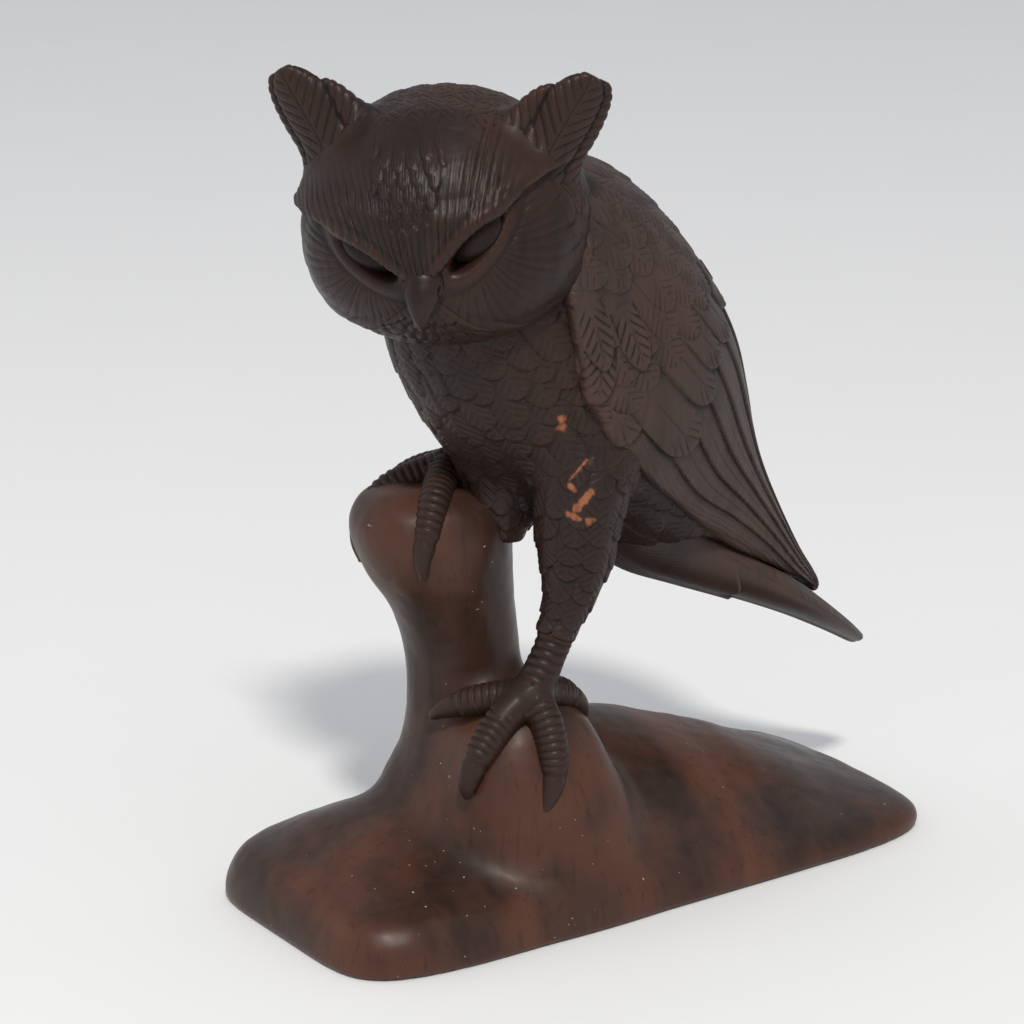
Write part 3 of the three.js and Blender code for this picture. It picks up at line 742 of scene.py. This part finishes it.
def wing_field(space, side):
    """A shell of the plumage inside the wing's outline; side is 1, -1, or 0 for both at once."""
    outer = space.distance(leaning(PLUMAGE))
    x, y, z = space.axes()
    field = common(outer, -WING_THICK - outer, 2)
    low, high = (-100, 100) if side == 0 else sorted((0, 100 * side))
    field = common(field, space.distance(prism(WING_OUTLINE, low, high)), 1.5)
    if side:
        inner = below((side * MANTLE_HALF, -30, 0), (-side * (MANTLE_END_Y + 30), 1 - MANTLE_HALF, 0))
        field = common(field, inner(x, y, z) + 0 * z, 1.5)
    return field


def make_wing(side, name):
    """Long primaries under greater coverts, rows of lesser coverts and a fan at the shoulder."""
    space = Space(*box_of("wing_" + name), 0.75 * DRAFT, 9.0)
    carving = space.surface(wing_field(space, side))
    p = carving.points
    plumage = leaning(PLUMAGE)
    along, angle, share = plumage.chart(p * [side, 1, 1])
    outside = smoothstep(0.86, 0.96, share)
    size = plumage.radius(along) / 60
    rng = np.random.default_rng(41 + side)
    everything = np.arange(len(p))
    end = plumage.length[-1]
    for low, high in zip(PRIMARY_EDGES, PRIMARY_EDGES[1:]):
        middle, half = math.radians((low + high) / 2), math.radians((high - low) / 2)
        v = wrap(angle - middle) / half * 9
        before = carving.height.copy()
        carving.feather(everything, along - 60, v, end - 60, 9.4, 1.2, outside, tip=0.06, camber=0.2,
                        soft=1.0, overlap=1.2, rachis=0.3, slant=12, fine=0.7, tone=rng.uniform(0.2, 0.8))
        carving.height = before + (carving.height - before) * np.clip(0.35 + 0.65 * size, 0.3, 1)
        line = np.abs(v) < 9.4
        carving.barb[line] = v[line] * 1.15 * np.clip(size[line], 0.2, 1) + 0.06 * along[line]
    for middle, at, width in COVERTS:
        radius = float(plumage.radius(at - 20))
        u, v = along - (at - COVERT_LENGTH), wrap(angle - math.radians(middle)) * radius
        u, v = turned(u, v, COVERT_LEAN)
        carving.feather(everything, u, v, COVERT_LENGTH, width * 0.56, 2.5, outside, tip=0.24,
                        camber=0.3, overlap=0.7, soft=1.0, rachis=0.3, barbs=0.6, pitch=3.2, slant=22,
                        barb_from=0.68, fine=0.3, tone=rng.uniform(0.2, 0.8))
    lesser_arc = (math.radians(PRIMARY_EDGES[0]), math.radians(100))
    carving.rows(plumage, along, angle, 8, 74, 13, 15, 24, lesser_arc, rng, outside, turn=6, step=1.3,
                 camber=0.35, barbs=0.3, pitch=2.8, barb_from=0.4, fine=0.3, tip=0.42, soft=1.0)
    for middle, at, length, width, lean in SHOULDER_FAN:
        radius = float(plumage.radius(at + 10))
        u, v = turned(along - at, wrap(angle - math.radians(middle)) * radius, lean)
        # tone=1.0 makes the fan's feathers the lightest on the wing: a painted highlight on the shoulder
        carving.feather(everything, u, v, length, width * 0.6, 3.3, outside, tip=0.55, camber=0.3,
                        rachis=0.6, soft=0.8, barbs=0.8, pitch=3.2, slant=38, fine=0.2, tone=1.0, point=1.7)
    carving.tone = 0.5 * carving.tone + 0.25 + 0.25 * noise(p, 50, 43, 2)
    carving.apply()
    replaced = ["wing_" + name, "wing_dowel_" + name]
    carving.piece("wing_piece_" + name, "owl_wood", replaced, wing_wood_dust_and_light)


def make_tail():
    """Narrow feathers above, broad ones below, cut back where the wings lie on it."""
    low, high = box_of("tail")
    space = Space(low - [0, 34, 0], high + [0, 0, 24], 0.6 * DRAFT, 6.0)
    tail = leaning([(8, 182, 24, 20, 48), (24, 170, 28, 25, 49), *TAIL])
    core = space.distance(tail)
    field = join(cut(core, wing_field(space, 0) - 2.4, 2), core + 2.6, 1)
    carving = space.surface(field)
    p = carving.points
    along, angle, share = tail.chart(p)
    across = np.cos(angle) * share
    upper = smoothstep(-0.05, 0.2, np.sin(angle))
    everything = np.arange(len(p))
    end = tail.length[-1]
    for k in range(-3, 4):
        order = (k + 3) * 0.285 - 0.86
        v = (across - order) * 30
        carving.feather(everything, along, v, end + 2, 5.4, 0.8, upper, tip=0.05, overlap=0.5, rachis=0.3,
                        slant=14, fine=0.8, tone=0.5)
    for order, reach in ((-0.62, 0.5), (0.62, 0.52), (0, 0.6)):
        v = (across - order) * 30
        carving.feather(everything, along + 10, v, end * reach, 13, 1.5, 1 - upper, tip=0.3, camber=0.5,
                        slant=20, fine=0.35, tone=0.7)
    carving.height += (1 - upper) * 1.0 * np.exp(-((across - 0.1) / 0.12) ** 2)
    carving.apply()
    carving.piece("tail_piece", "owl_wood", ["tail", "tail_dowel"], wing_wood_dust_and_light)


# ---- Feet ----------------------------------------------------------------------------------

SCUTE = 3.3          # length of one ring of a toe
CLAW = 17            # length of a claw
TOE_TOP = (0.15, -0.25, 0.95)
SHANK_FRONT = (0.5, -0.8, 0.3)


def make_foot(name, shank, toes, replaced):
    """A scaly foot: a shank with a row of beads down its front, ringed toes and smooth claws."""
    space = Space(*box_of("foot_" + name, margin=5), 0.5 * DRAFT, 5.0)
    bones = [limb(shank)] + [limb(toe, grow=0.9) for toe in toes]
    fields = [space.distance(bone) for bone in bones]
    field = fields[0]
    for other in fields[1:]:
        field = join(field, other, 3.0)
    carving = space.surface(field)
    p, n = carving.points, carving.normals
    charts = [bone.chart(p) for bone in bones]
    share = np.array([np.where(along > bone.length[-1] - 0.5, 9, part)
                      for bone, (along, _, part) in zip(bones, charts)])
    nearest = np.argmin(share, axis=0)
    for k, (bone, (along, _, _)) in enumerate(zip(bones, charts)):
        mine = nearest == k
        left = bone.length[-1] - along
        bead = np.abs(np.sin(np.pi * along / (SCUTE if k else SCUTE * 1.3))) ** 0.7
        facing = smoothstep(-0.2, 0.5, n @ np.array(TOE_TOP if k else SHANK_FRONT))
        scaly = smoothstep(2, 6, along) * (smoothstep(CLAW, CLAW + 4, left) if k else 1)
        rings = (0.95 * bead - 0.5) * facing * scaly
        fringe = 0.4 * np.abs(np.sin(np.pi * along / (SCUTE * 0.75))) * (1 - facing) * scaly
        root = -0.5 * np.exp(-((left - CLAW) / 1.4) ** 2) if k else 0
        carving.height += np.where(mine, rings + fringe + root, 0)
        carving.tone = np.where(mine, 0.3 + 0.3 * scaly, carving.tone)
    carving.height = carving.average(carving.height)
    carving.apply()
    carving.piece("foot_piece_" + name, "owl_wood", replaced, owl_wood)


# ---- Head ----------------------------------------------------------------------------------

HEAD_PLACE = np.array(Matrix.Translation(HEAD_AT) @ Matrix.Rotation(math.radians(HEAD_TURN), 4, "Z")
                      @ Matrix.Rotation(math.radians(HEAD_BOW), 4, "X"))
FACE_ROLL = 10           # degrees: the brows and eyes were carved aslant
FACE_PIVOT_Z = -4
BROW_LINE = [(0, -3), (3, -2.5), (12, 6), (20, 12), (34, 18.5), (46, 19.5), (60, 17)]
BROW = [(0, -50, 1, 4.5), (14, -49, 9.5, 5), (30, -41, 19, 5), (43, -27, 22, 4.5), (51, -12, 23, 3)]
EYE_SLANT = 38
EYE_OPEN = (15.5, 7.2)   # half length and half height between the lids
EAR_LOBES = [
    [(26, -3, 26, 11, 9), (37, -3, 39, 11, 7), (44, -2, 48, 9.5, 5), (49.5, -1.5, 54.5, 7, 3.2),
     (52, -1, 58, 3, 1.8)],
    [(38, -3, 22, 12, 12), (48, -3, 37, 12, 8.5), (56, -2, 50, 11, 6), (61.5, -1, 58, 8.5, 3.6),
     (64.5, -0.5, 63, 3.5, 1.8)],
    [(43, 0, 16, 9, 11), (53, 1, 32, 10, 7.5), (61, 2, 45, 9, 5.5), (66.5, 3, 54, 6.5, 3.4),
     (69, 3.5, 58.5, 3, 1.8)],
]
EAR_ACROSS = (0.75, 0.1, -0.65)


def bow_and_turn(carving):
    """Sets a piece of the upright head in its place on the body."""
    carving.points = carving.points @ HEAD_PLACE[:3, :3].T + HEAD_PLACE[:3, 3]


def face_frame(x, z):
    """Coordinates across and up in the slanting face."""
    across, up = turned(x, z - FACE_PIVOT_Z, FACE_ROLL)
    return across, FACE_PIVOT_Z + up


def from_face(across, up):
    """The way back from the slanting face to the upright head."""
    x, z = turned(across, up - FACE_PIVOT_Z, -FACE_ROLL)
    return x, FACE_PIVOT_Z + z


def brow_line(x):
    fine = refine(BROW_LINE, 8)
    return np.interp(np.abs(x), fine[:, 0], fine[:, 1])


def ear_bones(side):
    return [limb([(side * x, *rest) for x, *rest in lobe], (side * EAR_ACROSS[0], *EAR_ACROSS[1:]))
            for lobe in EAR_LOBES]


def eye_axes(across, up, side):
    """Coordinates along and across the slanting slit between the lids."""
    return turned(side * across - EYE_AT[0], up - EYE_AT[2], EYE_SLANT)


def head_field(space):
    """Skull, face disc, overhanging brows, ear tufts and the slits for the eyes."""
    x, y, z = space.axes()
    field = join(space.distance(ellipsoid((0, 0, 0), SKULL)), space.distance(ellipsoid(FACE_AT, FACE)), 14)
    across, up = face_frame(x, z)
    plate = smoothstep(-1.0, 1.2, up - brow_line(across)) + 0 * y
    front = smoothstep(6, -14, y) + 0 * x
    near_eye = np.exp(-(((np.abs(across) - EYE_AT[0]) / 24) ** 2 + ((up - EYE_AT[2]) / 18) ** 2)) + 0 * y
    field = field + ((2.4 + 2.6 * near_eye) * (1 - plate) - 1.9 * plate) * front
    for side in (1, -1):
        row = [(*from_face(side * bx, bz), by, r) for bx, by, bz, r in BROW]
        brow = limb([(bx, by, bz, r) for bx, bz, by, r in row], (0, 1, 0))
        field = join(field, common(space.distance(brow), -(up - brow_line(across) + 2.2) + 0 * y, 1), 3)
        ear = None
        for bone in ear_bones(side):
            lobe = space.distance(bone)
            ear = lobe if ear is None else join(ear, lobe, 1.4)
        field = join(field, ear, 9)
        e1, e2 = eye_axes(across, up, side)
        almond = (np.hypot(e1 / EYE_OPEN[0], e2 / EYE_OPEN[1]) - 1) * EYE_OPEN[1]
        field = cut(field, np.maximum(almond + 0 * y, y + 34), 1.0)
    neck = below((0, 14, -34), (0, 0.35, -1))
    return common(field, neck(x, y, z), 6)


def carve_lids(carving, p):
    """Rims of the lids and fine rays over the face disc."""
    across, up = face_frame(p[:, 0], p[:, 2])
    front = smoothstep(-18, -28, p[:, 1])
    dx, dz = np.abs(across) - EYE_AT[0], up - EYE_AT[2]
    e1, e2 = eye_axes(np.abs(across), up, 1)
    reach = np.hypot(e1 / EYE_OPEN[0], e2 / EYE_OPEN[1])
    carving.height += front * 0.8 * smoothstep(0.85, 1.05, reach) * smoothstep(1.45, 1.1, reach)
    carving.height -= front * 0.45 * np.exp(-((reach - 1.6) / 0.16) ** 2)
    around = np.arctan2(dz, dx)
    away = np.hypot(dx, dz)
    rays = front * smoothstep(46, 24, away) * smoothstep(1.5, -1.5, up - brow_line(across))
    rays = rays * smoothstep(1.5, 1.9, reach)
    carving.height -= 0.3 * rays * (0.5 + 0.5 * np.cos(around * 44)) ** 2
    chosen = rays > 0.05
    carving.barb[chosen] = (around * 14)[chosen]
    carving.barb_on[chosen] = (0.8 * rays)[chosen]


def carve_brow(carving, p):
    """Hair that runs up from the brow line, and ragged little rows in the middle of the forehead."""
    across, up = face_frame(p[:, 0], p[:, 2])
    rise = up - brow_line(across)
    front = smoothstep(4, -8, p[:, 1])
    fan = np.arctan2(across, up + 62) * 72
    band = front * smoothstep(-0.5, 1.5, rise) * smoothstep(34, 16, rise)
    strand = 0.5 + 0.5 * np.cos(fan * 2 * np.pi / 2.5 + 0.9 * noise(p, 25, 52, 2))
    carving.height -= 0.42 * band * strand ** 2
    chosen = band > 0.05
    carving.barb[chosen] = fan[chosen]
    carving.barb_on[chosen] = (1.2 * band)[chosen]
    rng = np.random.default_rng(53)
    among = np.nonzero((np.abs(across) < 26) & (rise > -2) & (front > 0.5))[0]
    for low, half in ((18, 8), (23, 12), (28, 15), (33, 16), (38, 14)):
        for middle in np.arange(-half, half + 1, 4.0) + rng.uniform(-1, 1):
            u = (low + 7.5 + rng.normal(0, 0.4)) - up[among] + 0.03 * middle ** 2
            v = across[among] - middle * (1 + 0.012 * low)
            fade = smoothstep(half + 3, half - 3, np.abs(across[among]))
            carving.feather(among, u, v, 8, 2.9, 1.1, fade, tip=0.5, camber=0.3, soft=0.7, slant=0,
                            fine=0.6, tone=rng.uniform(0.3, 1), point=1.5)


def carve_crown(carving, p):
    """Small scallops over the crown, pointing back, and layered ruff feathers round the cheeks."""
    round_head = np.arctan2(p[:, 0], p[:, 2] + 4)
    everything = np.arange(len(p))
    top = smoothstep(-30, -20, p[:, 1])
    rng = np.random.default_rng(54)
    for row, root in enumerate(np.arange(46, -30, -8.5)):
        near = everything[(p[:, 1] > root - 3) & (p[:, 1] < root + 18)]
        spread = 12.0 / 50
        for middle in np.arange(-math.pi, math.pi, spread):
            at = middle + 0.5 * spread * (row % 2) + rng.normal(0, 0.02)
            u, v = p[near, 1] - root + rng.normal(0, 0.8), wrap(round_head[near] - at) * 50
            carving.feather(near, u, v, 15, 7.2, 1.3, top[near], tip=0.5, barbs=0.35, pitch=2.8, slant=45,
                            barb_from=0.2, fine=0.5, tone=rng.uniform(0, 1))
    down = np.arctan2(-p[:, 2] - 8, np.abs(p[:, 0]))
    rim = -12 - 40 * smoothstep(math.radians(4), math.radians(58), down)
    behind = p[:, 1] - rim
    cheek = smoothstep(30, 22, p[:, 2])
    for level, tip in ((0, 19), (1, 12.5), (2, 6), (3, 0)):
        length = 15
        for middle in np.arange(-math.pi, math.pi, 0.2):
            at = middle + 0.1 * (level % 2) + rng.normal(0, 0.012)
            v = wrap(np.arctan2(p[:, 0], -p[:, 2] - 8) - at) * 50
            near = everything[(np.abs(v) < 8) & (behind > tip - length - 3) & (behind < tip + 4)]
            u = behind[near] - (tip - length) + rng.normal(0, 0.4)
            width = 6.4 if level < 3 else 8.5
            carving.feather(near, u, v[near], length, width, 1.5 + 0.5 * level, cheek[near], tip=0.3,
                            root=0.5, camber=0.2, barbs=0.3 * (level < 3), pitch=2.6, slant=75,
                            fine=0.6, tone=rng.uniform(0.2, 0.8))
    disc = cheek * smoothstep(-6, -15, behind)
    carving.height += disc * (1.8 - carving.height)
    carving.barb_on *= 1 - disc


def ear_part(p, side):
    """How far a point belongs to an ear tuft: 0 on the skull, 1 well up the tuft."""
    rise = p @ unit(np.array([side * 0.62, 0, 0.78]))
    return smoothstep(42, 54, rise) * smoothstep(22, 34, side * p[:, 0])


def carve_ears(carving, p):
    """Slits between the lobes of each tuft, a rachis along each lobe and slanting cuts beside it."""
    for side in (1, -1):
        bones = ear_bones(side)
        charts = [bone.chart(p) for bone in bones]
        shares = np.array([part for _, _, part in charts])
        nearest = np.argmin(shares, axis=0)
        own = ear_part(p, side)
        ranked = np.sort(shares, axis=0)
        carving.height -= 0.9 * own * np.exp(-((ranked[1] - ranked[0]) / 0.09) ** 2) * (ranked[0] < 1.4)
        for k, (bone, (along, angle, part)) in enumerate(zip(bones, charts)):
            mine = (nearest == k) & (part < 1.4) & (part > 0.6) & (own > 0)
            v = np.cos(angle) * part * np.interp(along, bone.length, bone.half_a)
            phase = along * 0.72 - np.abs(v) * 0.68
            on = own * smoothstep(0.5, 2.0, np.abs(v)) * smoothstep(0, 4, bone.length[-1] - along)
            cuts = -0.55 * (0.5 + 0.5 * np.cos(phase * 2 * np.pi / 3.8)) ** 3
            carving.height += np.where(mine, on * cuts - 0.5 * own * np.exp(-(v / 0.7) ** 2), 0)
            high = mine & (own > 0.5)
            carving.barb[high] = phase[high]
            carving.barb_on[high] = (0.6 * (own - 0.5))[high]


def make_head():
    low, high = (-76, -60, -58), (76, 62, 68)
    space = Space(low, high, 0.8 * DRAFT, 10.0)
    carving = space.surface(head_field(space))
    p = carving.points.copy()
    ears = np.max([ear_part(p, side) for side in (1, -1)], axis=0)
    carve_crown(carving, p)
    carving.height *= 1 - ears
    carve_brow(carving, p)
    carving.height *= 1 - ears
    carve_lids(carving, p)
    carving.barb_on *= np.clip(1 - 2 * ears, 0, 1)
    carve_ears(carving, p)
    carving.tone = 0.5 * carving.tone + 0.25 + 0.25 * noise(p, 40, 55, 2)
    carving.apply()
    bow_and_turn(carving)
    replaced = ["head", "ear_tuft_left", "ear_tuft_right", "ear_dowel_left", "ear_dowel_right", "neck_dowel"]
    carving.piece("head_piece", "owl_wood", replaced, owl_wood)


BEAK_BLADE = [(0, -43, 1, 6, 6), (0, -51, -1.5, 8.6, 7), (0, -58, -6, 8.4, 7.4), (0, -62.8, -11.8, 6, 6),
              (0, -65, -17.5, 3.2, 3.6), (0, -64.6, -22.5, 0.8, 1)]


def make_beak():
    """A short hooked beak with a swollen cere, a nostril on each side and the line of its gape."""
    space = Space((-12, -72, -28), (12, -38, 16), 0.35 * DRAFT, 4.0)
    field = space.distance(limb(BEAK_BLADE))
    field = join(field, space.distance(ellipsoid((0, -56.5, -1.5), (5.6, 4.8, 4.6))), 3)
    for side in (1, -1):
        field = cut(field, space.distance(ellipsoid((side * 7.2, -60, -6), (1.7, 1.7, 2.2))), 1)
    carving = space.surface(field)
    p = carving.points.copy()
    line = np.interp(-p[:, 1], [45, 56, 62, 66], [-8, -11.5, -15, -20])
    carving.height -= 0.55 * np.exp(-((p[:, 2] - line) / 0.7) ** 2) * smoothstep(1, 2.5, np.abs(p[:, 0]))
    carving.height += 0.12 * noise(p, 9, 61, 2)
    carving.tone[:] = 0.8
    carving.apply()
    bow_and_turn(carving)
    carving.piece("beak_piece", "owl_wood", ["beak"], owl_wood)


def make_eye(side, name):
    """A smooth eyeball, a little flattened between the lids."""
    x, z = from_face(side * EYE_AT[0], EYE_AT[2])
    turn = Matrix.Rotation(-side * math.radians(EYE_SLANT + side * FACE_ROLL), 4, "Y")
    place = np.array(Matrix.Translation((x, EYE_AT[1] + 3.4, z)) @ turn)
    at = place[:3, 3]
    space = Space(at - 17, at + 17, 0.4 * DRAFT, 4.0)
    ball = moved(ellipsoid((0, 0, 0), (EYE_RADIUS * 1.45, EYE_RADIUS, EYE_RADIUS * 0.85)), place)
    carving = space.surface(space.distance(ball))
    p = carving.points.copy()
    carving.height += 0.08 * noise(p, 12, 71, 1)
    carving.apply()
    bow_and_turn(carving)
    carving.piece("eyeball_" + name, "eye_wood", ["eye_" + name], eye_wood)


# ---- Camera, floor and light ---------------------------------------------------------------

VIEW_AZIMUTH = 55
VIEW_ELEVATION = 16.5
VIEW_DISTANCE = 1.4
VIEW_AT = Vector((-0.012, -0.028, 0.170))
VIEW_WIDTH = 0.4608      # what the picture spans at VIEW_AT
FLOOR_HALF = 12.0


def make_camera():
    turn, lift = math.radians(VIEW_AZIMUTH), math.radians(VIEW_ELEVATION)
    back = Vector((math.sin(turn) * math.cos(lift), -math.cos(turn) * math.cos(lift), math.sin(lift)))
    data = bpy.data.cameras.new("camera")
    data.sensor_width = 36
    data.lens = 36 * VIEW_DISTANCE / VIEW_WIDTH
    data.clip_end = 50
    camera = bpy.data.objects.new("camera", data)
    camera.location = VIEW_AT + back * VIEW_DISTANCE
    camera.rotation_euler = back.to_track_quat("Z", "Y").to_euler()
    bpy.context.scene.collection.objects.link(camera)
    bpy.context.scene.camera = camera


def make_floor():
    """A wide pale floor."""
    mesh = bpy.data.meshes.new("floor")
    corners = [(-FLOOR_HALF, -FLOOR_HALF, 0), (FLOOR_HALF, -FLOOR_HALF, 0),
               (FLOOR_HALF, FLOOR_HALF, 0), (-FLOOR_HALF, FLOOR_HALF, 0)]
    mesh.from_pydata(corners, [], [(0, 1, 2, 3)])
    floor = bpy.data.objects.new("floor", mesh)
    bpy.context.scene.collection.objects.link(floor)
    n = Nodes("floor")
    speck = n.noise(6, 3)
    n.fill(n.shader, Base_Color=n.mix(speck, (0.90, 0.90, 0.89), (0.93, 0.93, 0.92)), Roughness=0.7)
    mesh.materials.append(n.material)


def make_light(name, place, size, power, color=(1, 1, 1)):
    data = bpy.data.lights.new(name, "AREA")
    data.shape = "DISK"
    data.size = size
    data.energy = power
    data.color = color
    light = bpy.data.objects.new(name, data)
    light.location = place
    light.rotation_euler = (Vector(place) - Vector((0, 0, 0.2))).to_track_quat("Z", "Y").to_euler()
    bpy.context.scene.collection.objects.link(light)


def make_world():
    bpy.context.scene.view_settings.view_transform = "Standard"
    world = bpy.data.worlds.new("studio")
    bpy.context.scene.world = world
    world.use_nodes = True
    world.node_tree.nodes["Background"].inputs[0].default_value = (0.93, 0.95, 1.0, 1.0)
    world.node_tree.nodes["Background"].inputs[1].default_value = 0.56


make_camera()
make_floor()
make_world()
make_light("key", (2.5, -1.45, 3.8), 0.5, 124, (1.0, 0.97, 0.92))
make_light("fill", (-0.9, -1.6, 0.9), 1.2, 2.5)
make_ground()
make_body()
make_thigh()
make_wing(1, "left")
make_wing(-1, "right")
make_tail()
make_foot("left", SHANK_LEFT, TOES_LEFT, ["foot_left"])
make_foot("right", SHANK_RIGHT, TOES_RIGHT, ["foot_right"])
make_head()
make_beak()
make_eye(1, "left")
make_eye(-1, "right")
